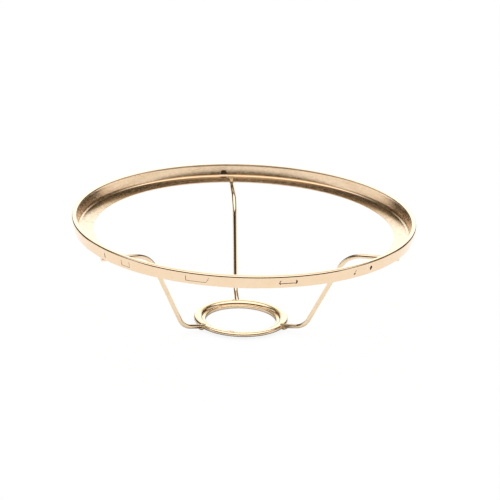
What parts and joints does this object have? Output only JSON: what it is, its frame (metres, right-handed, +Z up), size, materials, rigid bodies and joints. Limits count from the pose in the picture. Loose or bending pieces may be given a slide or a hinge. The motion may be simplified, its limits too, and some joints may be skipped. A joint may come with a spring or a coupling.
{
  "type": "oil lamp shade holder",
  "caption": "Round polished-brass shade holder: a lipped ring with an inner seat, carried on bent wire arms over a small flanged burner ring.",
  "frame": {"origin": "on the lamp's axis, in the plane of the burner collar's bottom edge, which the part stands on", "axes": "+Z up along the lamp's axis, +Y towards the rear arm, +X to the right seen from the front"},
  "size_m": [0.2636, 0.2636, 0.0878],
  "materials": {
    "brass_sheet": "polished and lacquered brass plate on spun sheet",
    "brass_wire": "polished brass plate on drawn wire",
    "braze": "plated over, slightly uneven"
  },
  "bodies": {
    "root": {"outer_band": "brass_sheet", "seat_ring": "brass_sheet", "burner_ring": "brass_sheet", "rear_arm": "brass_wire", "left_arm": "brass_wire", "right_arm": "brass_wire", "upper_brazing": "braze", "lower_brazing": "braze"}
  },
  "joints": []
}
